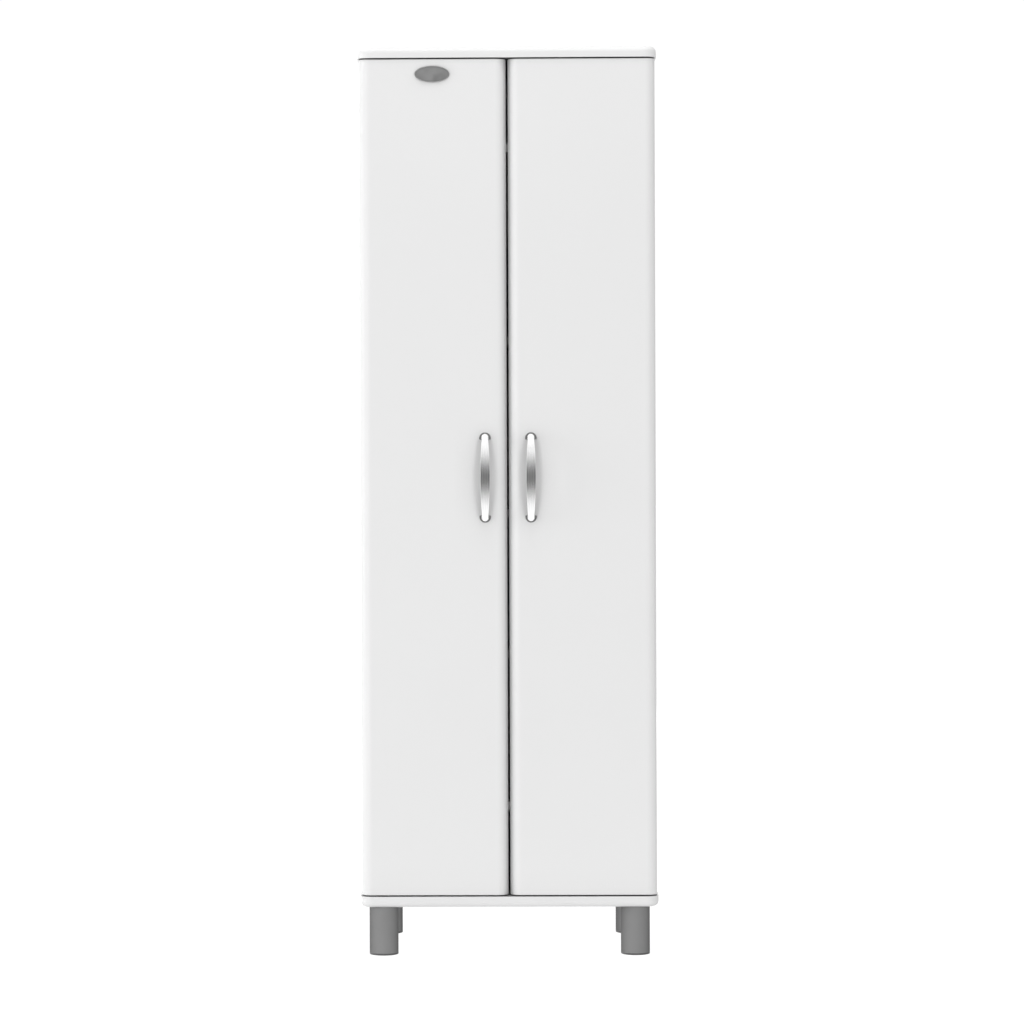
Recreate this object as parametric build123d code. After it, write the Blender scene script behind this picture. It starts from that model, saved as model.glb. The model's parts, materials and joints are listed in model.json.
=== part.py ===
from build123d import *
import os
from math import atan2, cos, degrees, hypot, sin

# Two-door pantry cabinet in 16 mm and 22 mm board, on four round legs.
# Millimetres. +Z is up and the doors face -Y. The origin lies on the floor, under the middle of
# the whole cabinet, handles included.

# Top and bottom boards
slab_width = 606.0
slab_depth = 410.0
slab_thickness = 22.0
slab_edge_radius = 11.0
slab_corner_radius = 24.0

# Carcass
carcass_width = 600.0
board = 16.0
clear_height = 1700.0
back_thickness = 3.0
back_inset = 1.0
strip_groove = 6.0
strip_face = 1.2
strip_web = 1.6
fixed_shelf_offset = 181.0
adjustable_pin_heights = (600.0, 888.0, 1240.0)
adjustable_shelf_setback = 28.0
adjustable_shelf_play = 1.0

# Doors
door_thickness = 22.0
door_edge_radius = 20.0
door_top_gap = 3.0
door_centre_gap = 4.0
door_back_gap = 2.0
door_setback = 2.5

# Handles and badge
handle_screw_spacing = 160.0
handle_from_centre = 46.5
handle_projection = 29.0
bow_half_length = 87.0
bow_sagitta = 15.0
bow_width_middle = 18.5
bow_width_tip = 11.6
bow_thickness_middle = 8.0
bow_thickness_tip = 6.0
bow_tip_round = 6.3
handle_post_radius = 5.6
foot_plate_radius = 12.3
foot_plate_thickness = 3.5
foot_plate_flat = 3.5
handle_screw_radius = 2.0
badge_width = 70.0
badge_height = 33.0
badge_thickness = 3.0
badge_below_slab = 33.0
badge_rim = 2.0
badge_recess = 0.8
bumper_radius = 4.0
bumper_thickness = 1.6
bumper_from_edge = 14.0
handle_screw_head_radius = 4.0
handle_screw_head_height = 1.5
handle_thread_depth = 9.0
handle_screw_in_post = 8.0

# Legs
leg_height = 100.0
leg_radius = 29.5
leg_wall = 2.6
leg_inset = 46.5
leg_plate_thickness = 4.0
foot_cap_rim = 4.0
foot_cap_plug = 10.0
leg_plate_ring = 12.0
leg_screw_radius = 2.0
leg_screw_length = 17.0
leg_screw_head = 2.0
leg_screw_offset = 12.0

# Fittings
cam_radius = 7.5
cam_depth = 12.5
cam_from_end = 34.0
cam_bolt_radius = 3.5
cam_bolt_in_board = 11.0
dowel_radius = 4.0
dowel_length = 30.0
fit_clearance = 0.05
shelf_pin_radius = 2.5
shelf_pin_depth = 9.0
shelf_pin_reach = 8.0
shelf_pin_pitch = 32.0
nail_radius = 0.8
nail_head_radius = 1.8
nail_length = 18.0
bracket_x = 240.0
bracket_leg = 30.0
bracket_width = 20.0
bracket_sheet = 2.0
bracket_hole_from_corner = 18.0
wall_hole_radius = 2.75
bracket_screw_radius = 2.0
bracket_screw_length = 14.0
bracket_screw_head_height = 1.8
cam_cross_size = 9.0
cam_cross_groove = 1.6
cam_cross_depth = 1.5
driver_cross_size = 3.8
driver_cross_groove = 0.9
driver_cross_depth = 0.8

# Concealed hinges, in plan. u runs inwards from the outer face of the side panel and v runs
# forwards from its front edge. A and B are the ends of the outer link, C and D of the inner one.
pivot_a = (26.01, 6.83)
pivot_b = (9.91, 5.02)
pivot_c = (35.23, 9.0)
pivot_d = (12.49, 4.0)
outer_link_bend = (13.4, 9.9)
hinge_pin_radius = 1.25
hinge_hole_radius = 1.30
open_pin_radius = 1.0
open_hole_radius = 1.95
cup_centre_u = 22.5
cup_outer_radius = 17.4
cup_inner_radius = 16.4
cup_floor_v = 13.0
cup_depth_v = 14.0
cup_flange = 1.0
hinge_from_door_end = 100.0
inner_link_half = 2.8
inner_lug_layer = (3.0, 4.6)
outer_link_layer = (5.0, 6.6)
cheek_layer = (6.9, 8.5)
stub_layer = (4.9, 7.0)
cup_flange_u = (15.0, 37.0)
cup_flange_half = 30.0
cup_rim_extra = 1.6
cup_lug_radius = 2.0
cup_cheek_root = (7.5, 10.0)
cup_cheek_radius = 2.3
arm_web_u = (27.0, 28.6)
arm_cheek_u = 19.5
arm_v = (-62.0, -12.0)
arm_nose_radius = 2.4
arm_cheek_root = (26.2, -14.0)
arm_lug_root = (28.4, -15.0)
arm_screw_radius = 2.0
arm_screw_length = 8.0
link_radius = 2.2
lever_radius = 2.4
lever_open_end_radius = 2.9
plate_base_u = (16.0, 18.5)
plate_base_v = (-54.0, -20.0)
plate_base_half = 26.0
plate_block_v = (-58.0, -18.0)
plate_screw_radius = 2.5
plate_screw_length = 12.5
plate_screw_v = -37.0
plate_screw_spacing = 32.0
cup_screw_spacing = 48.0
cup_screw_u = 28.5
cup_screw_radius = 1.75
cup_screw_length = 13.0
cup_screw_head_radius = 3.4
cup_screw_head_height = 1.2
plate_screw_head_radius = 4.2
plate_screw_head_height = 2.0

# Positions that follow from the dimensions
slab_front = -(slab_depth + door_setback - handle_projection) / 2
slab_back = slab_front + slab_depth
door_front = slab_front + door_setback
door_back = door_front + door_thickness
carcass_front = door_back + door_back_gap
back_rear = slab_back - back_inset
back_front = back_rear - back_thickness
bottom_top = leg_height + slab_thickness
top_bottom = bottom_top + clear_height
total_height = top_bottom + slab_thickness
half_carcass = carcass_width / 2
inner_half = half_carcass - board
door_width = (carcass_width - door_centre_gap) / 2
door_bottom = bottom_top + door_top_gap
door_top = top_bottom - door_top_gap
mid_height = (door_bottom + door_top) / 2
fixed_heights = (bottom_top + fixed_shelf_offset, top_bottom - fixed_shelf_offset)
hinge_heights = (door_bottom + hinge_from_door_end, mid_height, door_top - hinge_from_door_end)
leg_x = slab_width / 2 - leg_inset
leg_y = (slab_front + leg_inset, slab_back - leg_inset)
handle_ends = (mid_height - handle_screw_spacing / 2, mid_height + handle_screw_spacing / 2)

# Joint rows, measured along the depth of the carcass
cam_rows = (carcass_front + 50.0, back_front - 50.0)
dowel_rows = (carcass_front + 82.0, back_front - 82.0)
pin_rows = (carcass_front + 60.0, back_front - 45.0)


def block(x0, x1, y0, y1, z0, z1):
    return Pos((x0 + x1) / 2, (y0 + y1) / 2, (z0 + z1) / 2) * Box(x1 - x0, y1 - y0, z1 - z0)


def rod(x, y, z, radius, length, direction):
    """Cylinder that starts at a point and runs along one axis: '+x', '-x', '+y' and so on."""
    sign = 1 if direction[0] == "+" else -1
    turn = {"x": Rot(0, 90, 0), "y": Rot(-90, 0, 0), "z": Rot(0, 0, 0)}[direction[1]]
    shift = {"x": Pos(sign * length / 2, 0, 0), "y": Pos(0, sign * length / 2, 0),
             "z": Pos(0, 0, sign * length / 2)}[direction[1]]
    return Pos(x, y, z) * shift * turn * Cylinder(radius, length)


def cross(x, y, z, axis, size=driver_cross_size, groove=driver_cross_groove, depth=driver_cross_depth):
    """Two crossing grooves for a screwdriver, cut to a depth into the face that holds the point."""
    double = 2 * depth
    boxes = {"x": ((double, size, groove), (double, groove, size)),
             "y": ((size, double, groove), (groove, double, size)),
             "z": ((size, groove, double), (groove, size, double))}[axis]
    return [Pos(x, y, z) * Box(*sides) for sides in boxes]


def both_sides(solids):
    return solids + [mirror(s, about=Plane.YZ) for s in solids]


def write(name, solids):
    """One file for a node, which is either one solid or a group of separate solids."""
    if isinstance(solids, list):
        solids = Compound(children=[s.solid() for s in solids])
    solids.label = name
    export_step(solids, "parts/" + name + ".step")


# ---------------------------------------------------------------- boards

def slab(z0, rounded_up):
    """Top or bottom board: rounded front corners, and a rounded edge on the front and the sides."""
    body = block(-slab_width / 2, slab_width / 2, slab_front, slab_back, z0, z0 + slab_thickness)
    corners = body.edges().filter_by(Axis.Z).group_by(Axis.Y)[0]
    body = fillet(corners, slab_corner_radius)
    face = body.faces().sort_by(Axis.Z)[-1 if rounded_up else 0]
    edges = [e for e in face.edges() if e.center().Y < slab_back - 1]
    return fillet(edges, slab_edge_radius)


def cam_bolt_holes(x_list, z, direction):
    return [rod(x, y, z, cam_bolt_radius + fit_clearance, cam_bolt_in_board, direction)
            for x in x_list for y in cam_rows]


def slab_dowel_holes(z, direction):
    centre = half_carcass - board / 2
    return [rod(x, y, z, dowel_radius, dowel_length / 2, direction)
            for x in (-centre, centre) for y in dowel_rows]


def top_panel():
    centre = half_carcass - board / 2
    body = slab(top_bottom, True)
    body -= cam_bolt_holes((-centre, centre), top_bottom, "+z") + slab_dowel_holes(top_bottom, "+z")
    return body - bracket_screws_up(fit_clearance)


def bottom_panel():
    centre = half_carcass - board / 2
    body = slab(leg_height, False)
    body -= cam_bolt_holes((-centre, centre), bottom_top, "-z") + slab_dowel_holes(bottom_top, "-z")
    return body - leg_screw_shafts(fit_clearance)


def shelf_pin_holes():
    """Two columns of holes on the left side, five holes about each adjustable shelf."""
    holes = []
    for height in adjustable_pin_heights:
        for step in range(-2, 3):
            for y in pin_rows:
                z = height + step * shelf_pin_pitch
                holes.append(rod(-inner_half, y, z, shelf_pin_radius, shelf_pin_depth, "-x"))
    return holes


def side_panel_left():
    """Side board with all its bores: cams, bolts, dowels, shelf pins and hinge plate screws."""
    body = block(-half_carcass, -inner_half, carcass_front, back_front, bottom_top, top_bottom)
    centre = half_carcass - board / 2
    bores = shelf_pin_holes()
    for y in cam_rows:
        for z, step in ((bottom_top, 1), (top_bottom, -1)):
            way = "+z" if step > 0 else "-z"
            bores.append(rod(-inner_half, y, z + step * cam_from_end, cam_radius + fit_clearance,
                             cam_depth, "-x"))
            bores.append(rod(-centre, y, z, cam_bolt_radius + fit_clearance, cam_from_end, way))
    for y in dowel_rows:
        for z, way in ((bottom_top, "+z"), (top_bottom, "-z")):
            bores.append(rod(-centre, y, z, dowel_radius, dowel_length / 2, way))
    for z in fixed_heights:
        for y in cam_rows:
            bores.append(rod(-inner_half, y, z, cam_bolt_radius + fit_clearance,
                             cam_bolt_in_board, "-x"))
        for y in dowel_rows:
            bores.append(rod(-inner_half, y, z, dowel_radius, dowel_length / 3, "-x"))
    return body - bores - plate_screw_shafts(fit_clearance) - nails(fit_clearance)


def fixed_shelf(z):
    body = block(-inner_half, inner_half, carcass_front, back_front, z - board / 2, z + board / 2)
    bores = []
    for y in cam_rows:
        bores.append(rod(-inner_half + cam_from_end, y, z - board / 2, cam_radius + fit_clearance,
                         cam_depth, "+z"))
        bores.append(rod(-inner_half, y, z, cam_bolt_radius + fit_clearance, cam_from_end, "+x"))
    for y in dowel_rows:
        bores.append(rod(-inner_half, y, z, dowel_radius, dowel_length * 2 / 3, "+x"))
    return body - both_sides(bores) - nails(fit_clearance)


def adjustable_shelf(pin_height):
    z0 = pin_height + shelf_pin_radius
    half = inner_half - adjustable_shelf_play
    body = block(-half, half, carcass_front + adjustable_shelf_setback, back_front, z0, z0 + board)
    front = body.faces().sort_by(Axis.Y)[0]
    return fillet(front.edges().filter_by(Axis.X), 1.0)


def back_half(z0, z1, with_wall_holes):
    body = block(-half_carcass, half_carcass, back_front, back_rear, z0, z1)
    body -= [s for s in nails(fit_clearance) if z0 < s.center().Z < z1]
    if with_wall_holes:
        body -= wall_holes(back_front, back_thickness)
    return body


def back_joint_strip():
    """H-shaped strip that holds the two halves of the back panel together."""
    half_web = strip_web / 2
    reach = half_web + strip_groove
    half = inner_half - 0.5
    front = block(-half, half, back_front - strip_face, back_front, mid_height - reach, mid_height + reach)
    web = block(-half, half, back_front, back_rear, mid_height - half_web, mid_height + half_web)
    rear_face = block(-half, half, back_rear, back_rear + back_inset,
                      mid_height - reach, mid_height + reach)
    return front + web + rear_face


# ---------------------------------------------------------------- carcass fittings

def shelf_pins():
    pins = []
    for height in adjustable_pin_heights:
        for y in pin_rows:
            start = -inner_half - shelf_pin_depth + fit_clearance
            pin = rod(start, y, height, shelf_pin_radius - fit_clearance,
                      shelf_pin_depth + shelf_pin_reach, "+x")
            collar = rod(-inner_half, y, height, shelf_pin_radius, shelf_pin_reach, "+x")
            pins.append(pin + collar)
    return both_sides(pins)


def cam_lock(x, y, z, direction):
    """Round cam with a screwdriver cross in its face."""
    cam = rod(x, y, z, cam_radius, cam_depth - fit_clearance, direction)
    return cam - cross(x, y, z, direction[1], cam_cross_size, cam_cross_groove, cam_cross_depth)


def cam_locks():
    cams = []
    centre = half_carcass - board / 2
    clear = cam_bolt_radius + fit_clearance
    for y in cam_rows:
        for z, step in ((bottom_top, 1), (top_bottom, -1)):
            way = "+z" if step > 0 else "-z"
            cam = cam_lock(-inner_half, y, z + step * cam_from_end, "-x")
            cams.append(cam - rod(-centre, y, z, clear, cam_from_end, way))
        for z in fixed_heights:
            cam = cam_lock(-inner_half + cam_from_end, y, z - board / 2, "+z")
            cams.append(cam - rod(-inner_half, y, z, clear, cam_from_end, "+x"))
    return both_sides(cams)


def cam_bolts():
    bolts = []
    centre = half_carcass - board / 2
    neck = 4.0
    total = cam_from_end + cam_bolt_in_board
    for y in cam_rows:
        for z, step in ((bottom_top, 1), (top_bottom, -1)):
            way = "+z" if step > 0 else "-z"
            bolts.append(bolt(-centre, y, z - step * cam_bolt_in_board, total, neck, way))
        for z in fixed_heights:
            bolts.append(bolt(-inner_half - cam_bolt_in_board, y, z, total, neck, "+x"))
    return both_sides(bolts)


def bolt(x, y, z, total, neck, direction):
    """Cam bolt: a threaded root, a shaft, a thin neck and a round head that the cam pulls on."""
    sign = 1 if direction[0] == "+" else -1
    move = {"x": (sign, 0, 0), "z": (0, 0, sign)}[direction[1]]
    head = 2.4
    root = total - neck - head
    spots = ((0.0, root, cam_bolt_radius), (root, neck, cam_bolt_radius * 0.55),
             (root + neck, head, cam_bolt_radius * 0.95))
    body = None
    for start, length, radius in spots:
        piece = rod(x + move[0] * start, y, z + move[2] * start, radius, length, direction)
        body = piece if body is None else body + piece
    return body


def wood_dowels():
    dowels = []
    centre = half_carcass - board / 2
    radius = dowel_radius - fit_clearance
    length = dowel_length - 2 * fit_clearance
    for y in dowel_rows:
        for z in (bottom_top, top_bottom):
            dowels.append(rod(-centre, y, z - length / 2, radius, length, "+z"))
        for z in fixed_heights:
            dowels.append(rod(-inner_half - length / 3, y, z, radius, length, "+x"))
    return both_sides(dowels)


def nails(clearance):
    """Back panel nails: along both side panels and both fixed shelves."""
    spots = []
    margin = 60.0
    count = 11
    pitch = (clear_height - 2 * margin) / (count - 1)
    for i in range(count):
        z = bottom_top + margin + i * pitch
        for x in (-half_carcass + board / 2, half_carcass - board / 2):
            spots.append((x, z))
    for z in fixed_heights:
        for x in (-150.0, 0.0, 150.0):
            spots.append((x, z))
    head = 0.8
    solids = []
    for x, z in spots:
        shaft = rod(x, back_rear, z, nail_radius + clearance, nail_length, "-y")
        solids.append(shaft if clearance else shaft + rod(x, back_rear, z, nail_head_radius, head, "+y"))
    return solids


# ---------------------------------------------------------------- wall brackets

def wall_holes(y, depth):
    z = top_bottom - bracket_hole_from_corner
    return [rod(x, y, z, wall_hole_radius, depth, "+y") for x in (-bracket_x, bracket_x)]


def wall_brackets():
    """Two steel angles under the top board, with a hole each for a wall screw through the back."""
    solids = []
    for x in (-bracket_x, bracket_x):
        flat = block(x - bracket_width / 2, x + bracket_width / 2, back_front - bracket_leg, back_front,
                     top_bottom - bracket_sheet, top_bottom)
        upright = block(x - bracket_width / 2, x + bracket_width / 2, back_front - bracket_sheet,
                        back_front, top_bottom - bracket_leg, top_bottom)
        angle = flat + upright - wall_holes(back_front - bracket_sheet, bracket_sheet)
        angle -= bracket_screws_up(fit_clearance)
        outer = [e for e in angle.edges().filter_by(Axis.Y) + angle.edges().filter_by(Axis.Z)
                 if e.length <= bracket_sheet + 0.01]
        solids.append(fillet(outer, 2.0))
    return solids


def bracket_screws_up(clearance):
    y = back_front - bracket_hole_from_corner
    start = top_bottom - bracket_sheet
    return [rod(x, y, start, bracket_screw_radius + clearance, bracket_screw_length, "+z")
            for x in (-bracket_x, bracket_x)]


def wall_bracket_screws():
    y = back_front - bracket_hole_from_corner
    z = top_bottom - bracket_sheet
    solids = []
    for shaft, x in zip(bracket_screws_up(0.0), (-bracket_x, bracket_x)):
        head = rod(x, y, z, bracket_screw_radius * 2, bracket_screw_head_height, "-z")
        solids.append(shaft + head - cross(x, y, z - bracket_screw_head_height, "z"))
    return solids


# ---------------------------------------------------------------- legs

def leg_tube(x, y):
    bore = leg_radius - leg_wall
    tube = Pos(x, y, (leg_height + foot_cap_rim) / 2) * Cylinder(leg_radius, leg_height - foot_cap_rim)
    return tube - Pos(x, y, leg_height / 2) * Cylinder(bore, leg_height)


def leg_screw_spots(x, y):
    return [(x + sx * leg_screw_offset, y + sy * leg_screw_offset)
            for sx in (-1, 1) for sy in (-1, 1)]


def leg_screw_shafts(clearance):
    start = leg_height - leg_plate_thickness
    return [rod(px, py, start, leg_screw_radius + clearance, leg_screw_length, "+z")
            for x in (-leg_x, leg_x) for y in leg_y for px, py in leg_screw_spots(x, y)]


def leg_plate(x, y):
    """Round plate screwed under the bottom board; the leg tube is pushed over it."""
    radius = leg_radius - leg_wall
    disc = rod(x, y, leg_height, radius, leg_plate_thickness, "-z")
    ring = rod(x, y, leg_height - leg_plate_thickness, radius, leg_plate_ring, "-z")
    ring -= rod(x, y, leg_height - leg_plate_thickness, radius - leg_wall, leg_plate_ring, "-z")
    return disc + ring - leg_screw_shafts(fit_clearance)


def leg_screws():
    solids = []
    spots = [p for x in (-leg_x, leg_x) for y in leg_y for p in leg_screw_spots(x, y)]
    for shaft, (px, py) in zip(leg_screw_shafts(0.0), spots):
        solids.append(shaft + rod(px, py, leg_height - leg_plate_thickness, leg_screw_radius * 1.9,
                                  leg_screw_head, "-z"))
    return solids


def foot_cap(x, y):
    """Plastic end cap: a rim that stands on the floor and a plug inside the leg tube."""
    rim = Pos(x, y, foot_cap_rim / 2) * Cylinder(leg_radius, foot_cap_rim)
    rim = fillet(rim.edges().group_by(Axis.Z)[0], 1.2)
    plug = Pos(x, y, foot_cap_rim + foot_cap_plug / 2) * Cylinder(leg_radius - leg_wall, foot_cap_plug)
    plug -= Pos(x, y, foot_cap_rim + foot_cap_plug / 2) * Cylinder(leg_radius - 2 * leg_wall, foot_cap_plug)
    return rim + plug


# ---------------------------------------------------------------- doors

def door_left():
    """Door board with rounded vertical front edges, hinge cup bores and screw holes."""
    body = block(-half_carcass, -half_carcass + door_width, door_front, door_back, door_bottom, door_top)
    edges = body.edges().filter_by(Axis.Z).group_by(Axis.Y)[0]
    body = fillet(edges, door_edge_radius)
    bores = []
    for z in hinge_heights:
        x = -half_carcass + cup_centre_u
        bores.append(rod(x, door_back, z, cup_outer_radius + fit_clearance,
                         cup_depth_v - door_back_gap, "-y"))
    for z in handle_ends:
        bores.append(rod(-handle_from_centre, door_back, z, handle_screw_radius + fit_clearance,
                         door_thickness, "-y"))
    return body - bores - cup_screw_shafts(fit_clearance)


def bow_section(fraction):
    """Cross-section of the bow, from -1 at the lower tip through 0 in the middle to 1 at the top."""
    radius = (bow_half_length ** 2 + bow_sagitta ** 2) / (2 * bow_sagitta)
    end_angle = atan2(bow_half_length, radius - bow_sagitta)
    angle = fraction * end_angle
    fade = fraction ** 2
    width = bow_width_middle + (bow_width_tip - bow_width_middle) * fade
    thick = bow_thickness_middle + (bow_thickness_tip - bow_thickness_middle) * fade
    centre_front = door_front - handle_projection + bow_thickness_middle / 2
    y = centre_front + radius * (1 - cos(angle))
    z = mid_height + radius * sin(angle)
    plane = Plane(origin=(-handle_from_centre, y, z), x_dir=(1, 0, 0), z_dir=(0, sin(angle), cos(angle)))
    return plane * Ellipse(width / 2, thick / 2)


def handle_left():
    """Bow handle: a tapering arched bar on two round posts."""
    stations = [i / 4 for i in range(-4, 5)]
    bow = loft([bow_section(f) for f in stations])
    round_centre = bow_half_length - bow_tip_round
    outline = block(-handle_from_centre - bow_width_middle, -handle_from_centre + bow_width_middle,
                    door_front - 2 * handle_projection, door_front,
                    mid_height - round_centre, mid_height + round_centre)
    for z in (mid_height - round_centre, mid_height + round_centre):
        outline += rod(-handle_from_centre, door_front, z, bow_tip_round, 2 * handle_projection, "-y")
    bow = bow & outline
    radius = (bow_half_length ** 2 + bow_sagitta ** 2) / (2 * bow_sagitta)
    drop = radius - (radius ** 2 - (handle_screw_spacing / 2) ** 2) ** 0.5
    post_front = door_front - handle_projection + bow_thickness_middle / 2 + drop
    post_back = door_front - foot_plate_thickness
    for z in handle_ends:
        bow += rod(-handle_from_centre, post_back, z, handle_post_radius, post_back - post_front, "-y")
    for z in handle_ends:
        bow -= rod(-handle_from_centre, post_back, z, handle_screw_radius + fit_clearance,
                   handle_thread_depth, "-y")
    return bow


def handle_feet_left():
    """D-shaped foot plates under the ends of the bow, each with its flat towards the middle."""
    solids = []
    for z, inward in zip(handle_ends, (1, -1)):
        disc = rod(-handle_from_centre, door_front, z, foot_plate_radius, foot_plate_thickness, "-y")
        disc = fillet(disc.edges().group_by(Axis.Y)[0], 1.2)
        side = 2 * foot_plate_radius
        cut_centre = z + inward * (foot_plate_flat + side / 2)
        disc -= Pos(-handle_from_centre, door_front, cut_centre) * Box(side, side, side)
        solids.append(disc - rod(-handle_from_centre, door_front, z, handle_screw_radius + fit_clearance,
                                 foot_plate_thickness, "-y"))
    return solids


def handle_screws_left():
    """Screws through the door into the posts, with their heads on the inner face."""
    length = door_thickness + foot_plate_thickness + handle_screw_in_post
    x = -handle_from_centre
    solids = []
    for z in handle_ends:
        shaft = rod(x, door_back, z, handle_screw_radius, length, "-y")
        head = rod(x, door_back, z, handle_screw_head_radius, handle_screw_head_height, "+y")
        solids.append(shaft + head - cross(x, door_back + handle_screw_head_height, z, "y"))
    return solids


def badge():
    """Blank oval badge with a raised rim."""
    x = -half_carcass + door_width / 2
    z = top_bottom - badge_below_slab
    plate = Plane(origin=(x, door_front, z), x_dir=(1, 0, 0), z_dir=(0, -1, 0))
    outer = extrude(plate * Ellipse(badge_width / 2, badge_height / 2), badge_thickness)
    front = Plane(origin=(x, door_front - badge_thickness, z), x_dir=(1, 0, 0), z_dir=(0, -1, 0))
    field = extrude(front * Ellipse(badge_width / 2 - badge_rim, badge_height / 2 - badge_rim),
                    -badge_recess)
    outer = fillet(outer.edges().group_by(Axis.Y)[0], badge_recess)
    return outer - field


def bumpers_left():
    """Soft pads on the door's free edge, in front of the fixed shelves."""
    x = -door_centre_gap / 2 - bumper_from_edge
    return [rod(x, door_back, z, bumper_radius, bumper_thickness, "+y") for z in fixed_heights]


# ---------------------------------------------------------------- concealed hinges, left side

def plan(point):
    return (-half_carcass + point[0], carcass_front - point[1])


def bar(points, radius, z, layer, end_radius=None):
    """Flat link or lug with round ends that follows some points in plan, in one layer of height."""
    low, high = layer
    outline = None
    for i, point in enumerate(points):
        last = i == len(points) - 1
        disc = Pos(*plan(point)) * Circle(end_radius if last and end_radius else radius)
        outline = disc if outline is None else outline + disc
    for start, end in zip(points, points[1:]):
        (x0, y0), (x1, y1) = plan(start), plan(end)
        turn = Rot(0, 0, degrees(atan2(y1 - y0, x1 - x0)))
        length = hypot(x1 - x0, y1 - y0)
        outline += Pos((x0 + x1) / 2, (y0 + y1) / 2) * turn * Rectangle(length, 2 * radius)
    return Pos(0, 0, z + low) * extrude(outline, high - low)


def pin_at(point, radius, z, layer):
    low, high = layer
    x, y = plan(point)
    return Pos(x, y, z + (low + high) / 2) * Cylinder(radius, high - low)


def mirrored(layer):
    return (layer, (-layer[1], -layer[0]))


def hinge_arm(z):
    """Cranked steel channel: two outer cheeks that carry A and two inner lugs that carry C."""
    x0, y_rear = plan((arm_web_u[0], arm_v[0]))
    x1, y_front = plan((arm_web_u[1], arm_v[1]))
    x_cheek = plan((arm_cheek_u, 0))[0]
    body = block(x0, x1, y_front, y_rear, z - cheek_layer[1], z + cheek_layer[1])
    for low, high in mirrored(cheek_layer):
        body += block(x_cheek, x1, y_front, y_rear, z + low, z + high)
        body += bar([arm_cheek_root, pivot_a], arm_nose_radius, z, (low, high))
    for layer in mirrored(stub_layer):
        body += pin_at(pivot_a, hinge_pin_radius, z, layer)
    for layer in mirrored(inner_lug_layer):
        body += bar([arm_lug_root, pivot_c], arm_nose_radius, z, layer)
    body += pin_at(pivot_c, hinge_pin_radius, z, (-inner_lug_layer[1], inner_lug_layer[1]))
    return body - arm_screw_shaft(z, fit_clearance)


def arm_screw_shaft(z, clearance):
    x, y = plan((arm_web_u[1], plate_screw_v))
    return rod(x, y, z, arm_screw_radius + clearance, arm_screw_length, "-x")


def hinge_plate(z):
    """Mounting plate: a flat base screwed to the side panel and a raised block for the arm."""
    x0, y_rear = plan((plate_base_u[0], plate_base_v[0]))
    x1, y_front = plan((plate_base_u[1], plate_base_v[1]))
    base = block(x0, x1, y_front, y_rear, z - plate_base_half, z + plate_base_half)
    base = fillet(base.edges().filter_by(Axis.X), 4.0)
    x_top, y_block_front = plan((arm_web_u[0], plate_block_v[1]))
    y_block_rear = plan((0, plate_block_v[0]))[1]
    half = cheek_layer[0] - 2 * fit_clearance
    base += block(x1, x_top, y_block_front, y_block_rear, z - half, z + half)
    return base - plate_screw_shafts(fit_clearance) - arm_screw_shaft(z, fit_clearance)


def plate_screw_shafts(clearance):
    x, y = plan((plate_base_u[1], plate_screw_v))
    return [rod(x, y, z + side * plate_screw_spacing / 2, plate_screw_radius + clearance,
                plate_screw_length, "-x")
            for z in hinge_heights for side in (-1, 1)]


def panel_screw(shaft, x, y, z):
    """Adds a pan head with a driver cross to a shaft that runs into the side panel or the plate."""
    head = rod(x, y, z, plate_screw_head_radius, plate_screw_head_height, "+x")
    return shaft + head - cross(x + plate_screw_head_height, y, z, "x")


def hinge_plate_screws():
    """Two panel screws for each mounting plate and one clamping screw for each arm."""
    x, y = plan((plate_base_u[1], plate_screw_v))
    x_arm = plan((arm_web_u[1], 0))[0]
    spots = [z + side * plate_screw_spacing / 2 for z in hinge_heights for side in (-1, 1)]
    solids = [panel_screw(shaft, x, y, z) for shaft, z in zip(plate_screw_shafts(0.0), spots)]
    return solids + [panel_screw(arm_screw_shaft(z, 0.0), x_arm, y, z) for z in hinge_heights]


def hinge_cup(z):
    """Steel cup with its flange, the stub pins at B and the short pin at D."""
    x, y_floor = plan((cup_centre_u, cup_depth_v))
    y_back = plan((0, door_back_gap))[1]
    y_face = y_back + cup_flange
    outer = rod(x, y_floor, z, cup_outer_radius, y_face - y_floor, "+y")
    x0, x1 = [plan((u, 0))[0] for u in cup_flange_u]
    flange = block(x0, x1, y_back, y_face, z - cup_flange_half, z + cup_flange_half)
    flange = fillet(flange.edges().filter_by(Axis.Y), 6.0)
    flange += rod(x, y_back, z, cup_outer_radius + cup_rim_extra, cup_flange, "+y")
    y_inside = plan((0, cup_floor_v))[1]
    cup = outer + flange - rod(x, y_inside, z, cup_inner_radius, y_face - y_inside + 1, "+y")
    envelope = rod(x, y_floor, z, cup_outer_radius, y_face - y_floor, "+y")
    for layer in mirrored(cheek_layer):
        cup += bar([cup_cheek_root, pivot_b], cup_cheek_radius, z, layer) & envelope
    for layer in mirrored(stub_layer):
        cup += pin_at(pivot_b, hinge_pin_radius, z, layer)
    lug_root = (pivot_d[0], cup_floor_v - cup_lug_radius)
    x_lug = [plan((pivot_d[0] + side * cup_lug_radius, 0))[0] for side in (-1, 1)]
    for layer in mirrored(inner_lug_layer):
        cup += bar([lug_root, pivot_d], cup_lug_radius, z, layer)
        cup += block(x_lug[0], x_lug[1], y_inside - fit_clearance, y_inside + cup_lug_radius,
                     z + layer[0], z + layer[1])
    cup += pin_at(pivot_d, open_pin_radius, z, (-inner_lug_layer[1], inner_lug_layer[1]))
    return cup - cup_screw_shafts(fit_clearance)


def cup_screw_shafts(clearance):
    x, y = plan((cup_screw_u, door_back_gap - cup_flange))
    return [rod(x, y, z + side * cup_screw_spacing / 2, cup_screw_radius + clearance,
                cup_screw_length, "-y")
            for z in hinge_heights for side in (-1, 1)]


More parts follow.
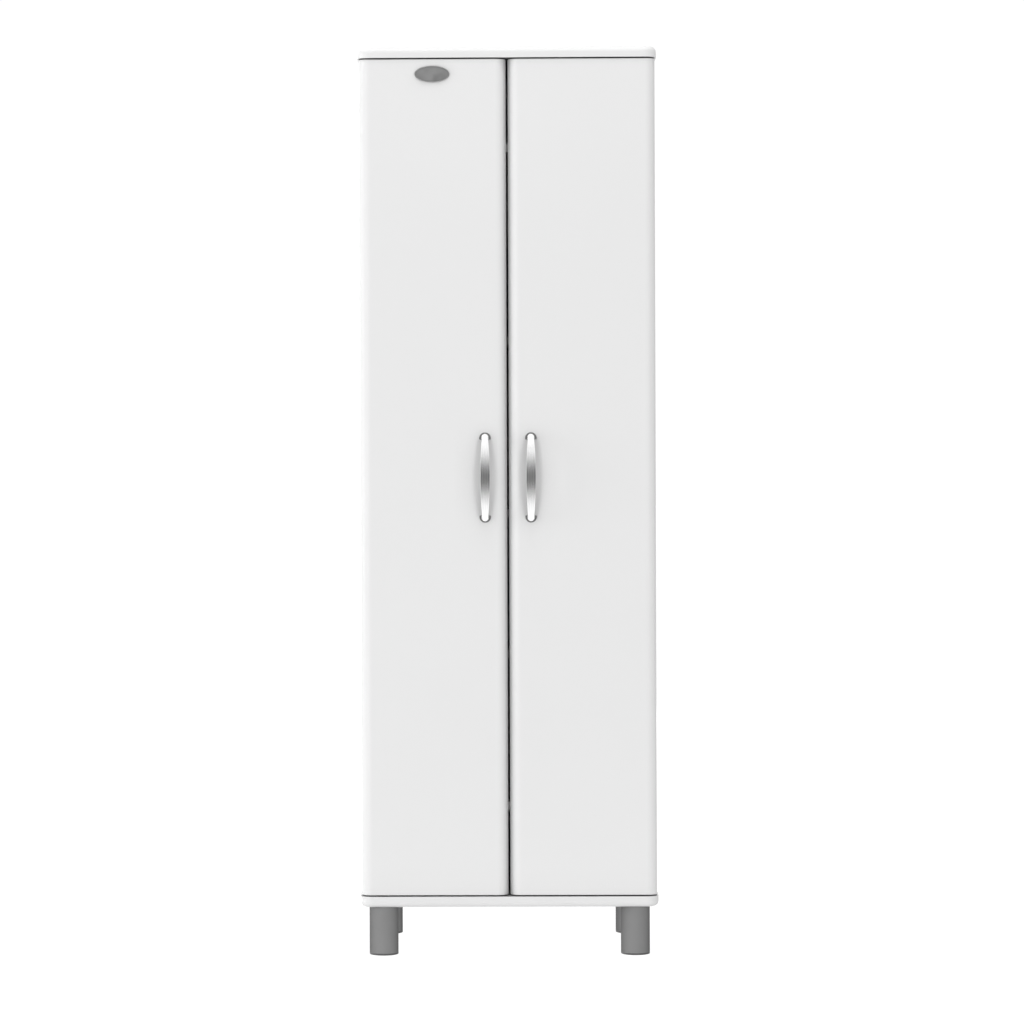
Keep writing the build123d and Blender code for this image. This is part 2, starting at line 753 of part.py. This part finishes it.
def hinge_cup_screws():
    x, y = plan((cup_screw_u, door_back_gap - cup_flange))
    spots = [z + side * cup_screw_spacing / 2 for z in hinge_heights for side in (-1, 1)]
    solids = []
    for shaft, z in zip(cup_screw_shafts(0.0), spots):
        head = rod(x, y, z, cup_screw_head_radius, cup_screw_head_height, "+y")
        solids.append(shaft + head - cross(x, y + cup_screw_head_height, z, "y"))
    return solids


def outer_links():
    """Two bent steel plates in each hinge, from A on the arm to B on the cup."""
    solids = []
    for z in hinge_heights:
        for layer in mirrored(outer_link_layer):
            plate = bar([pivot_a, outer_link_bend, pivot_b], link_radius, z, layer)
            solids.append(plate - pin_at(pivot_a, hinge_hole_radius, z, layer)
                          - pin_at(pivot_b, hinge_hole_radius, z, layer))
    return solids


def inner_links():
    """One thick lever in each hinge, from C on the arm to D on the cup; its hole at D is wide."""
    solids = []
    layer = (-inner_link_half, inner_link_half)
    for z in hinge_heights:
        lever = bar([pivot_c, pivot_d], lever_radius, z, layer, lever_open_end_radius)
        solids.append(lever - pin_at(pivot_c, hinge_hole_radius, z, layer)
                      - pin_at(pivot_d, open_hole_radius, z, layer))
    return solids


# ---------------------------------------------------------------- all nodes

def mirror_all(solids):
    if isinstance(solids, list):
        return [mirror(s, about=Plane.YZ) for s in solids]
    return mirror(solids, about=Plane.YZ)


def write_pair(name, solids):
    write(name + "_left", solids)
    write(name + "_right", mirror_all(solids))


os.makedirs("parts", exist_ok=True)

write("top_panel", top_panel())
write("bottom_panel", bottom_panel())
write_pair("side_panel", side_panel_left())
write("fixed_shelf_lower", fixed_shelf(fixed_heights[0]))
write("fixed_shelf_upper", fixed_shelf(fixed_heights[1]))
for shelf_name, pin_height in zip(("lower", "middle", "upper"), adjustable_pin_heights):
    write("adjustable_shelf_" + shelf_name, adjustable_shelf(pin_height))
write("back_panel_lower", back_half(bottom_top, mid_height - strip_web / 2, False))
write("back_panel_upper", back_half(mid_height + strip_web / 2, top_bottom, True))
write("back_joint_strip", back_joint_strip())
write("shelf_pins", shelf_pins())
write("cam_locks", cam_locks())
write("cam_bolts", cam_bolts())
write("wood_dowels", wood_dowels())
write("back_nails", nails(0.0))
write("wall_brackets", wall_brackets())
write("wall_bracket_screws", wall_bracket_screws())
for row_name, y in zip(("front", "rear"), leg_y):
    for side_name, x in (("left", -leg_x), ("right", leg_x)):
        write("leg_" + row_name + "_" + side_name, leg_tube(x, y))
        write("leg_plate_" + row_name + "_" + side_name, leg_plate(x, y))
        write("foot_cap_" + row_name + "_" + side_name, foot_cap(x, y))
write("leg_screws", leg_screws())

write_pair("door", door_left())
write_pair("handle", handle_left())
write_pair("handle_feet", handle_feet_left())
write_pair("handle_screws", handle_screws_left())
write_pair("bumpers", bumpers_left())
write("badge", badge())
write_pair("hinge_arms", [hinge_arm(z) for z in hinge_heights])
write_pair("hinge_plates", [hinge_plate(z) for z in hinge_heights])
write_pair("hinge_plate_screws", hinge_plate_screws())
write_pair("hinge_cups", [hinge_cup(z) for z in hinge_heights])
write_pair("hinge_cup_screws", hinge_cup_screws())
write_pair("hinge_links_outer", outer_links())
write_pair("hinge_links_inner", inner_links())
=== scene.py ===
import json
import math

import bpy
from mathutils import Matrix, Vector


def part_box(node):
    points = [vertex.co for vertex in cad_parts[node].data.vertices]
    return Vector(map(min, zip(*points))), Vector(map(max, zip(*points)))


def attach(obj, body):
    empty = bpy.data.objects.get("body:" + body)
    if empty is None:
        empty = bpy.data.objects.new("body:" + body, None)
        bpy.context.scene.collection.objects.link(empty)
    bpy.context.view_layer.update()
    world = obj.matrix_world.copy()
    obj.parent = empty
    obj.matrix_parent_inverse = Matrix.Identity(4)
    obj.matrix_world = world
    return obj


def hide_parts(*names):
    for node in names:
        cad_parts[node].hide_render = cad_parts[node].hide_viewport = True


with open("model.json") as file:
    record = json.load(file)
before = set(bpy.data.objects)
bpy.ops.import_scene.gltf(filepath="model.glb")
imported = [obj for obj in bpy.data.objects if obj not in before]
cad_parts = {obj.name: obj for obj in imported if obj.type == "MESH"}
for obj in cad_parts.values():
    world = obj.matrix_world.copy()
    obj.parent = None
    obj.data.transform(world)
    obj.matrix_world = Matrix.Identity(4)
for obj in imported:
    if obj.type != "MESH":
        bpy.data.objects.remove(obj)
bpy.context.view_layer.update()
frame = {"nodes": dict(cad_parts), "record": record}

nodes = frame["nodes"]
MM = 0.001


# ---------------------------------------------------------------- camera

CAMERA_PLACE = (-0.02108, -7.14986, 1.02005)
CAMERA_YAW, CAMERA_PITCH, CAMERA_ROLL = 0.0139, -0.0108, -0.0039
LENS, SENSOR_WIDTH = 120.78, 36.0
SHIFT_X, SHIFT_Y = 0.0606, -0.0204
VIEW_DEPTH = 200.0


def make_camera():
    """Level-eyed view of the doors from about seven metres."""
    yaw, pitch, roll = CAMERA_YAW, CAMERA_PITCH, CAMERA_ROLL
    forward = Vector((-math.sin(yaw) * math.cos(pitch), math.cos(yaw) * math.cos(pitch), math.sin(pitch)))
    level = Vector((math.cos(yaw), math.sin(yaw), 0.0))
    upright = level.cross(forward)
    right = level * math.cos(roll) + upright * math.sin(roll)
    up = upright * math.cos(roll) - level * math.sin(roll)
    data = bpy.data.cameras.new("camera")
    data.lens = LENS
    data.sensor_width = SENSOR_WIDTH
    data.shift_x = SHIFT_X
    data.shift_y = SHIFT_Y
    data.clip_end = VIEW_DEPTH
    camera = bpy.data.objects.new("camera", data)
    turn = Matrix((right, up, -forward)).transposed().to_4x4()
    camera.matrix_world = Matrix.Translation(CAMERA_PLACE) @ turn
    bpy.context.scene.collection.objects.link(camera)
    bpy.context.scene.camera = camera


# ---------------------------------------------------------------- node helpers

def map_range(tree, value, start, end, low, high):
    """The node that takes a value from start..end to low..high."""
    node = tree.nodes.new("ShaderNodeMapRange")
    node.inputs["From Min"].default_value = start
    node.inputs["From Max"].default_value = end
    node.inputs["To Min"].default_value = low
    node.inputs["To Max"].default_value = high
    tree.links.new(value, node.inputs["Value"])
    return node


def mix_values(tree, factor, first, second):
    """Blend of two values, each of them a socket or a number."""
    node = tree.nodes.new("ShaderNodeMix")
    tree.links.new(factor, node.inputs["Factor"])
    for name, value in (("A", first), ("B", second)):
        if isinstance(value, float):
            node.inputs[name].default_value = value
        else:
            tree.links.new(value, node.inputs[name])
    return node.outputs[0]


# ---------------------------------------------------------------- surroundings, floor and lights

AMBIENT = 0.49                           # strength that lights matt surfaces
BACKDROP = 1.02                          # strength behind the cabinet
CARD_ACROSS, CARD_UP = 0.45, 1.9         # the oval card is narrower for a larger number
CARD_START, CARD_END = 0.08, 1.05        # distance from its middle over which the card fades out
CARD_DARK, CARD_LIGHT = 0.17, 1.25
FRONT_END, SIDE_START = -0.45, -0.10     # direction Y where the card gives way to the sides
SIDE_REACH = 0.6                         # direction X over which the sides change strength
LEFT_STRENGTH, RIGHT_STRENGTH = 1.7, 0.7

FLOOR_CORNERS = ((-30.0, -1.5), (30.0, -1.5), (30.0, 60.0), (-30.0, 60.0))
FLOOR_DROP = 0.0002
FLOOR_GLOW, FLOOR_GLOW_IN_VIEW = 0.50, 0.45
FLOOR_GREY = 0.22

# name, place, aim, width and height, watts
LIGHTS = (
    ("key", (-6.2, -1.2, 1.2), (0.0, 0.0, 1.0), (2.0, 3.0), 140.0),
    ("front_left", (-2.9, -6.2, 1.1), (0.0, 0.0, 1.0), (1.6, 3.5), 104.0),
    ("front_right", (2.9, -6.2, 1.1), (0.0, 0.0, 1.0), (1.6, 3.5), 95.0),
    ("overhead", (0.0, -1.4, 5.2), (0.0, 0.0, 1.0), (1.5, 1.5), 50.0),
    ("crown", (0.0, 0.2, 5.0), (0.0, 0.0, 1.8), (1.0, 1.0), 22.0),
    ("back", (0.6, 6.5, 2.0), (0.0, 0.0, 1.0), (3.0, 3.0), 150.0),
)


def make_world():
    """White surroundings. Shiny surfaces also find a dim oval card in front of the cabinet."""
    world = bpy.data.worlds.new("studio")
    bpy.context.scene.world = world
    world.use_nodes = True
    tree = world.node_tree
    tree.nodes.clear()
    out = tree.nodes.new("ShaderNodeOutputWorld")
    path = tree.nodes.new("ShaderNodeLightPath")
    direction = tree.nodes.new("ShaderNodeTexCoord").outputs["Generated"]
    split = tree.nodes.new("ShaderNodeSeparateXYZ")
    tree.links.new(direction, split.inputs[0])
    spread = tree.nodes.new("ShaderNodeVectorMath")
    spread.operation = "MULTIPLY"
    spread.inputs[1].default_value = (CARD_ACROSS, 0.0, CARD_UP)
    tree.links.new(direction, spread.inputs[0])
    distance = tree.nodes.new("ShaderNodeVectorMath")
    distance.operation = "LENGTH"
    tree.links.new(spread.outputs[0], distance.inputs[0])
    card = map_range(tree, distance.outputs["Value"], CARD_START, CARD_END, CARD_DARK, CARD_LIGHT)
    card.interpolation_type = "SMOOTHSTEP"
    sideways = map_range(tree, split.outputs["Y"], FRONT_END, SIDE_START, 0.0, 1.0)
    sides = map_range(tree, split.outputs["X"], -SIDE_REACH, SIDE_REACH, LEFT_STRENGTH, RIGHT_STRENGTH)
    shiny = mix_values(tree, sideways.outputs[0], card.outputs[0], sides.outputs[0])
    fill = mix_values(tree, path.outputs["Is Glossy Ray"], AMBIENT, shiny)
    seen = mix_values(tree, path.outputs["Is Camera Ray"], fill, BACKDROP)
    sky = tree.nodes.new("ShaderNodeBackground")
    sky.inputs["Color"].default_value = (1.0, 1.0, 1.0, 1.0)
    tree.links.new(seen, sky.inputs["Strength"])
    tree.links.new(sky.outputs[0], out.inputs["Surface"])


def make_floor():
    """Pale floor with a faint glow of its own, so that it stays near white under the cabinet."""
    mesh = bpy.data.meshes.new("floor")
    mesh.from_pydata([(x, y, -FLOOR_DROP) for x, y in FLOOR_CORNERS], [], [(0, 1, 2, 3)])
    floor = bpy.data.objects.new("floor", mesh)
    floor.visible_glossy = False
    bpy.context.scene.collection.objects.link(floor)
    material = bpy.data.materials.new("floor")
    material.use_nodes = True
    tree = material.node_tree
    tree.nodes.clear()
    out = tree.nodes.new("ShaderNodeOutputMaterial")
    both = tree.nodes.new("ShaderNodeAddShader")
    path = tree.nodes.new("ShaderNodeLightPath")
    glow = tree.nodes.new("ShaderNodeEmission")
    strength = tree.nodes.new("ShaderNodeMath")
    strength.operation = "MULTIPLY_ADD"
    strength.inputs[1].default_value = FLOOR_GLOW_IN_VIEW
    strength.inputs[2].default_value = FLOOR_GLOW
    tree.links.new(path.outputs["Is Camera Ray"], strength.inputs[0])
    tree.links.new(strength.outputs[0], glow.inputs["Strength"])
    matt = tree.nodes.new("ShaderNodeBsdfDiffuse")
    matt.inputs["Color"].default_value = (FLOOR_GREY, FLOOR_GREY, FLOOR_GREY, 1.0)
    tree.links.new(glow.outputs[0], both.inputs[0])
    tree.links.new(matt.outputs[0], both.inputs[1])
    tree.links.new(both.outputs[0], out.inputs["Surface"])
    mesh.materials.append(material)


def area_light(name, place, aim, size, watts):
    """Softbox that shows neither to the camera nor in reflections."""
    data = bpy.data.lights.new(name, "AREA")
    data.shape = "RECTANGLE"
    data.size, data.size_y = size
    data.energy = watts
    light = bpy.data.objects.new(name, data)
    light.location = place
    light.rotation_mode = "QUATERNION"
    light.rotation_quaternion = (Vector(aim) - Vector(place)).to_track_quat("-Z", "Y")
    light.visible_camera = False
    light.visible_glossy = False
    bpy.context.scene.collection.objects.link(light)


bpy.context.scene.view_settings.view_transform = "Standard"
make_camera()
make_world()
make_floor()
for row in LIGHTS:
    area_light(*row)


# ---------------------------------------------------------------- materials

class Shader:
    """A Principled material with helpers for procedural colour, roughness and bump."""

    SOCKETS = {"metallic": "Metallic", "ior": "IOR", "specular": "Specular IOR Level", "coat": "Coat Weight",
               "coat_rough": "Coat Roughness", "coat_ior": "Coat IOR", "coat_tint": "Coat Tint"}

    def __init__(self, name):
        self.material = bpy.data.materials.new(name)
        self.material.use_nodes = True
        self.tree = self.material.node_tree
        self.bsdf = self.tree.nodes["Principled BSDF"]
        self.coord = self.tree.nodes.new("ShaderNodeTexCoord")
        self.normal = None

    def link(self, a, b):
        self.tree.links.new(a, b)

    def set(self, **values):
        for key, value in values.items():
            self.bsdf.inputs[self.SOCKETS[key]].default_value = value

    def math(self, operation, first, second=None):
        node = self.tree.nodes.new("ShaderNodeMath")
        node.operation = operation
        self.link(first, node.inputs[0])
        if second is not None:
            self.link(second, node.inputs[1])
        return node.outputs[0]

    def ranged(self, value, low, high, start=0.3, end=0.7):
        return map_range(self.tree, value, start, end, low, high).outputs[0]

    def noise(self, size, detail=3.0, stretch=(1.0, 1.0, 1.0), rough=0.5):
        """Noise whose blobs are about size metres across; a stretch below 1 draws them out on that axis."""
        mapping = self.tree.nodes.new("ShaderNodeMapping")
        mapping.inputs["Scale"].default_value = stretch
        self.link(self.coord.outputs["Object"], mapping.inputs["Vector"])
        node = self.tree.nodes.new("ShaderNodeTexNoise")
        node.inputs["Scale"].default_value = 1.0 / size
        node.inputs["Detail"].default_value = detail
        node.inputs["Roughness"].default_value = rough
        self.link(mapping.outputs[0], node.inputs["Vector"])
        return node.outputs["Fac"]

    def tone(self, value, dark, light, start=0.3, end=0.7):
        """Grey that runs from dark to light with a value."""
        ramp = self.tree.nodes.new("ShaderNodeValToRGB")
        elements = ramp.color_ramp.elements
        elements[0].position = start
        elements[1].position = end
        elements[0].color = (dark, dark, dark, 1.0)
        elements[1].color = (light, light, light, 1.0)
        self.link(value, ramp.inputs[0])
        return ramp.outputs[0]

    def darken(self, colour, value, low, high):
        """Multiplies a colour by a factor between low and high that follows a value."""
        mix = self.tree.nodes.new("ShaderNodeMix")
        mix.data_type = "RGBA"
        mix.blend_type = "MULTIPLY"
        mix.inputs["Factor"].default_value = 1.0
        grey = self.tree.nodes.new("ShaderNodeCombineColor")
        factor = self.ranged(value, low, high, 0.0, 1.0)
        for channel in range(3):
            self.link(factor, grey.inputs[channel])
        self.link(colour, mix.inputs["A"])
        self.link(grey.outputs[0], mix.inputs["B"])
        return mix.outputs["Result"]

    def bump(self, value, depth, strength):
        node = self.tree.nodes.new("ShaderNodeBump")
        node.inputs["Distance"].default_value = depth
        node.inputs["Strength"].default_value = strength
        self.link(value, node.inputs["Height"])
        if self.normal is not None:
            self.link(self.normal, node.inputs["Normal"])
        self.normal = node.outputs[0]

    def edge(self, reach):
        """1 on a sharp or tightly rounded edge and 0 on flats."""
        bevel = self.tree.nodes.new("ShaderNodeBevel")
        bevel.samples = 4
        bevel.inputs["Radius"].default_value = reach
        geometry = self.tree.nodes.new("ShaderNodeNewGeometry")
        dot = self.tree.nodes.new("ShaderNodeVectorMath")
        dot.operation = "DOT_PRODUCT"
        self.link(bevel.outputs[0], dot.inputs[0])
        self.link(geometry.outputs["Normal"], dot.inputs[1])
        return self.ranged(dot.outputs["Value"], 1.0, 0.0, 0.75, 0.99)

    def openness(self, reach, samples):
        """1 in the open and less where another surface is within reach metres."""
        shade = self.tree.nodes.new("ShaderNodeAmbientOcclusion")
        shade.samples = samples
        shade.inputs["Distance"].default_value = reach
        return shade.outputs["AO"]

    def painted_crevice_shade(self, colour, reach, depth):
        """Painted shade: darkens a colour in tight corners and recesses, where another surface is within
        reach.
        """
        open_air = self.ranged(self.openness(reach, 6), 0.0, 1.0, 0.25, 0.9)
        return self.darken(colour, open_air, 1.0 - depth, 1.0)

    def front_shade(self, colour, reach, depth):
        """Contact shade on faces that look forward, up or down in the object's own axes."""
        closed = self.ranged(self.openness(reach, 8), 1.0, 0.0, 0.2, 1.0)
        split = self.tree.nodes.new("ShaderNodeSeparateXYZ")
        self.link(self.coord.outputs["Normal"], split.inputs[0])
        forward = self.ranged(split.outputs["Y"], 1.0, 0.0, -0.5, -0.1)
        level = self.ranged(self.math("ABSOLUTE", split.outputs["Z"]), 0.0, 1.0, 0.5, 0.9)
        facing = self.math("MAXIMUM", forward, level)
        return self.darken(colour, self.math("MULTIPLY", facing, closed), 1.0, 1.0 - depth)

    def finish(self, colour, roughness):
        self.link(colour, self.bsdf.inputs["Base Color"])
        self.link(roughness, self.bsdf.inputs["Roughness"])
        if self.normal is not None:
            self.link(self.normal, self.bsdf.inputs["Normal"])
        return self.material


def white_film(name, level, rough):
    """White foil pressed on board: faint orange peel, slow waviness and a slightly uneven gloss."""
    s = Shader(name)
    tone = s.tone(s.noise(0.35, 2.0), level * 0.99, level * 1.005, 0.2, 0.8)
    tone = s.darken(tone, s.edge(0.0012), 1.0, 0.965)
    tone = s.front_shade(tone, 0.06, 0.52)
    s.bump(s.noise(0.0011, 2.0), 0.00003, 0.5)
    s.bump(s.noise(0.08, 1.0), 0.0003, 0.05)
    s.set(ior=1.46, coat=0.10, coat_rough=0.12)
    return s.finish(tone, s.ranged(s.noise(0.12, 2.0), rough - 0.02, rough + 0.02, 0.2, 0.8))


def melamine(name, level):
    """Matt white melamine with a fine pore texture from front to back."""
    s = Shader(name)
    pores = s.noise(0.0022, 3.0, (1.0, 0.12, 1.0), 0.6)
    tone = s.tone(s.noise(0.2, 4.0), level * 0.98, level * 1.01)
    tone = s.darken(tone, pores, 0.985, 1.0)
    tone = s.darken(tone, s.edge(0.001), 1.0, 0.95)
    tone = s.front_shade(tone, 0.03, 0.6)
    s.bump(pores, 0.00005, 0.6)
    s.set(ior=1.45)
    return s.finish(tone, s.ranged(pores, 0.42, 0.58))


def hardboard(name, level):
    """Pressed fibres: fine flecks in colour, height and gloss."""
    s = Shader(name)
    flecks = s.noise(0.0016, 4.0, (1.0, 1.0, 1.0), 0.65)
    tone = s.tone(s.noise(0.3, 3.0), level * 0.97, level)
    tone = s.darken(tone, flecks, 0.95, 1.0)
    s.bump(flecks, 0.00006, 0.6)
    return s.finish(tone, s.ranged(flecks, 0.5, 0.68))


def metal(name, level, rough, stretch=(1.0, 1.0, 1.0), brush=0.25, painted_crevice_shade=0.0):
    """Plated or brushed metal with fine lines and patches of duller gloss. A non-zero last argument paints
    shade into its tight corners.
    """
    s = Shader(name)
    lines = s.noise(0.0006, 3.0, stretch, 0.6)
    tone = s.tone(s.noise(0.012, 3.0), level * 0.97, level * 1.02, 0.2, 0.8)
    tone = s.darken(tone, lines, 0.94, 1.0)
    # painted shade in tight corners and recesses, such as the foot plates' grooves and the badge's rim
    if painted_crevice_shade:
        tone = s.painted_crevice_shade(tone, 0.004, painted_crevice_shade)
    s.bump(lines, 0.00003, brush)
    s.set(metallic=1.0)
    return s.finish(tone, s.ranged(s.noise(0.02, 4.0), rough * 0.8, rough * 1.25))


def plastic(name, level, rough, specular=0.5, skin=None):
    """Moulded plastic with a fine spark-eroded grain. A skin of that grey deepens it towards its outline."""
    s = Shader(name)
    grain = s.noise(0.0007, 3.0, (1.0, 1.0, 1.0), 0.6)
    tone = s.tone(s.noise(0.03, 2.0), level * 0.975, level * 1.02, 0.2, 0.8)
    tone = s.darken(tone, s.edge(0.0008), 1.0, 1.12)
    s.bump(grain, 0.00003, 0.5)
    s.set(ior=1.47, specular=specular)
    if skin:
        s.set(coat=1.0, coat_rough=rough, coat_ior=1.08, coat_tint=(skin, skin, skin, 1.0))
    return s.finish(tone, s.ranged(grain, rough - 0.06, rough + 0.08))


looks = {
    "white_board": white_film("white_film", 0.80, 0.30),
    "shelf_board": melamine("white_melamine", 0.78),
    "back_board": hardboard("white_hardboard", 0.76),
    "white_plastic": plastic("white_plastic", 0.78, 0.4),
    "zinc": metal("zinc_cast", 0.55, 0.42),
    "steel": metal("zinc_plate", 0.66, 0.28),
    "beech": hardboard("dowel", 0.5),
    "leg_grey": plastic("grey_leg", 0.41, 0.6, specular=0.06, skin=0.65),
    "black_plastic": plastic("dark_plastic", 0.10, 0.45),
    # the chrome of the handles and the badge metal carry painted shade in their crevices
    "handle_metal": metal("satin_chrome", 0.88, 0.16, (1.0, 1.0, 0.03), brush=0.35, painted_crevice_shade=0.95),
    "hinge_nickel": metal("nickel_plate", 0.70, 0.22),
    "clear_rubber": plastic("clear_pad", 0.62, 0.3),
    "badge_metal": metal("badge_metal", 0.43, 0.45, (0.06, 1.0, 1.0), brush=0.3, painted_crevice_shade=0.35),
}
slot_of = {part["node"]: part["material_slot"] for part in frame["record"]["subparts"]}
for name, obj in nodes.items():
    for material_slot in obj.material_slots:
        material_slot.material = looks[slot_of[name]]


# ---------------------------------------------------------------- bow handles

BOW_HALF = 87 * MM                       # half the bow's height
BOW_SAG = 15 * MM
BOW_RADIUS = (BOW_HALF ** 2 + BOW_SAG ** 2) / (2 * BOW_SAG)
BOW_WIDTH, BOW_WIDTH_LOSS = 19.1, 8.0    # in the middle, and what the ends lose, in mm
BOW_THICK, BOW_THICK_LOSS = 8.0, 2.0
BOW_TIP = 6.3 * MM                       # length of the rounded tip
BOW_STATIONS = 141
CROWDING = 1.35                          # packs the stations towards the tips
EDGE_ROUND = 0.7 * MM
FLUTE_DEPTH = 0.42 * MM
FLUTE_WIDTH = 0.045                      # these two are shares of the bow's width
FLUTE_PLACES = (-0.25, 0.0, 0.25)
SHARP_ANGLE = math.radians(28)

SCREW_OFFSET = 80 * MM                   # screw to the handle's middle
POST_FOOT, POST_NECK = 6.2 * MM, 4.8 * MM
POST_LENGTH = 8.6 * MM
POST_RINGS, POST_SIDES = 12, 32

PLATE_REACH, PLATE_FLAT = 11.7, 2.8      # rim and flat from the plate's middle, in mm
PLATE_INWARD = 0.3 * MM                  # plate's middle from the screw, towards the handle's middle
PLATE_RIM, PLATE_NARROW = 0.9, 0.84      # rings inside this share of the reach are narrower across
PLATE_SIDES = 72
# share of the reach, and height in mm
PLATE_RINGS = ((1.0, 0.0), (1.0, 0.3), (0.99, 0.45), (0.77, 0.45), (0.768, 1.4), (0.72, 1.8), (0.64, 2.2),
               (0.55, 2.7), (0.47, 3.2), (0.4, 3.5), (0.2, 3.5))


def mesh_piece(name, verts, faces, slot, body):
    mesh = bpy.data.meshes.new(name)
    mesh.from_pydata(verts, [], faces)
    mesh.validate()
    mesh.update()
    for polygon in mesh.polygons:
        polygon.use_smooth = True
    mesh.set_sharp_from_angle(angle=SHARP_ANGLE)
    piece = bpy.data.objects.new(name, mesh)
    bpy.context.scene.collection.objects.link(piece)
    mesh.materials.append(looks[slot])
    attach(piece, body)
    return piece


def tube_faces(rings, around):
    """Quads between successive rings of points, with one flat cap at each end."""
    faces = []
    for i in range(rings - 1):
        for j in range(around):
            a, b = i * around + j, i * around + (j + 1) % around
            faces.append((a, b, b + around, a + around))
    faces.append(tuple(range(around))[::-1])
    faces.append(tuple((rings - 1) * around + j for j in range(around)))
    return faces


def bow_section(width, thick, flute_depth):
    """Points round the bow: a flat face with three flutes, tight rounded edges and a rounder back."""
    edge = min(EDGE_ROUND, 0.3 * thick)
    face = width / 2 - edge
    points = []
    for i in range(41):
        x = face * (1 - 2 * i / 40)
        flutes = sum(math.exp(-((x - place * width) / (FLUTE_WIDTH * width)) ** 2) for place in FLUTE_PLACES)
        points.append((x, thick / 2 - flute_depth * flutes))
    turns = [math.pi / 2 * i / 6 for i in range(1, 6)]
    rounding = [(face + edge * math.sin(turn), thick / 2 - edge * (1 - math.cos(turn))) for turn in turns]
    points += [(-x, out) for x, out in rounding]
    for i in range(15):
        turn = math.pi * i / 14
        out = -(thick - edge) * math.sin(turn) ** 0.7 + thick / 2 - edge
        points.append((-width / 2 * math.cos(turn), out))
    return points + rounding[::-1]


def bow(side):
    """Arched bar that narrows to its rounded tips."""
    low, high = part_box("handle_" + side)
    middle = Vector(((low.x + high.x) / 2, low.y + BOW_THICK / 2 * MM, (low.z + high.z) / 2))
    end_angle = math.asin(BOW_HALF / BOW_RADIUS)
    verts = []
    for i in range(BOW_STATIONS):
        t = -1 + 2 * i / (BOW_STATIONS - 1)
        t = math.copysign(1 - (1 - abs(t)) ** CROWDING, t)
        angle = t * end_angle
        width = (BOW_WIDTH - BOW_WIDTH_LOSS * t * t) * MM
        thick = (BOW_THICK - BOW_THICK_LOSS * t * t) * MM
        to_tip = BOW_HALF * (1 - abs(t))
        flute_depth = FLUTE_DEPTH * min(1.0, to_tip / (4 * BOW_TIP))
        if to_tip < BOW_TIP:
            width *= math.sqrt(max(1 - (1 - to_tip / BOW_TIP) ** 2, 0.0009))
            thick *= math.sqrt(1 - 0.5 * (1 - min(to_tip / MM, 1.0)) ** 2)
        centre = middle + Vector((0.0, BOW_RADIUS * (1 - math.cos(angle)), BOW_RADIUS * math.sin(angle)))
        normal = Vector((0.0, -math.cos(angle), math.sin(angle)))
        section = bow_section(width, thick, flute_depth)
        verts += [centre + Vector((x, 0.0, 0.0)) + normal * out for x, out in section]
    return verts, tube_faces(BOW_STATIONS, len(section))


def post(x, y, z):
    """Turned post that thins from its foot at the door towards the bow."""
    verts = []
    for i in range(POST_RINGS):
        share = i / (POST_RINGS - 1)
        radius = POST_NECK + (POST_FOOT - POST_NECK) * (1 - share) ** 2
        for j in range(POST_SIDES):
            turn = 2 * math.pi * j / POST_SIDES
            verts.append(Vector((x + radius * math.cos(turn), y - POST_LENGTH * share,
                                 z + radius * math.sin(turn))))
    return verts, tube_faces(POST_RINGS, POST_SIDES)


def foot_plate(x, door, z, inward):
    """D-shaped foot plate with a thin flat rim and a slope up to the post. Its flat looks inward."""
    verts = []
    for share, height in PLATE_RINGS:
        narrow = PLATE_NARROW if share < PLATE_RIM else 1.0
        for j in range(PLATE_SIDES):
            turn = 2 * math.pi * j / PLATE_SIDES
            facing = math.sin(turn) * inward
            reach = min(PLATE_REACH, PLATE_FLAT / facing) if facing > 0 else PLATE_REACH
            verts.append(Vector((x + narrow * share * reach * MM * math.cos(turn), door - height * MM,
                                 z + share * reach * MM * math.sin(turn))))
    return verts, tube_faces(len(PLATE_RINGS), PLATE_SIDES)


def join(parts):
    verts, faces = [], []
    for part_verts, part_faces in parts:
        start = len(verts)
        verts += part_verts
        faces += [tuple(k + start for k in face) for face in part_faces]
    return verts, faces


for side in ("left", "right"):
    feet_low, feet_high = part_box("handle_feet_" + side)
    bow_low, bow_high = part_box("handle_" + side)
    x = (feet_low.x + feet_high.x) / 2
    middle = (bow_low.z + bow_high.z) / 2
    bow_parts = [bow(side)]
    plates = []
    for sign in (-1, 1):
        z = middle + sign * SCREW_OFFSET
        bow_parts.append(post(x, bow_high.y, z))
        plates.append(foot_plate(x, feet_high.y, z - sign * PLATE_INWARD, -sign))
    handle = mesh_piece("bow_handle_" + side, *join(bow_parts), "handle_metal", "door_" + side)
    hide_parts("handle_" + side)
    feet = mesh_piece("foot_plates_" + side, *join(plates), "handle_metal", "door_" + side)
    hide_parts("handle_feet_" + side)
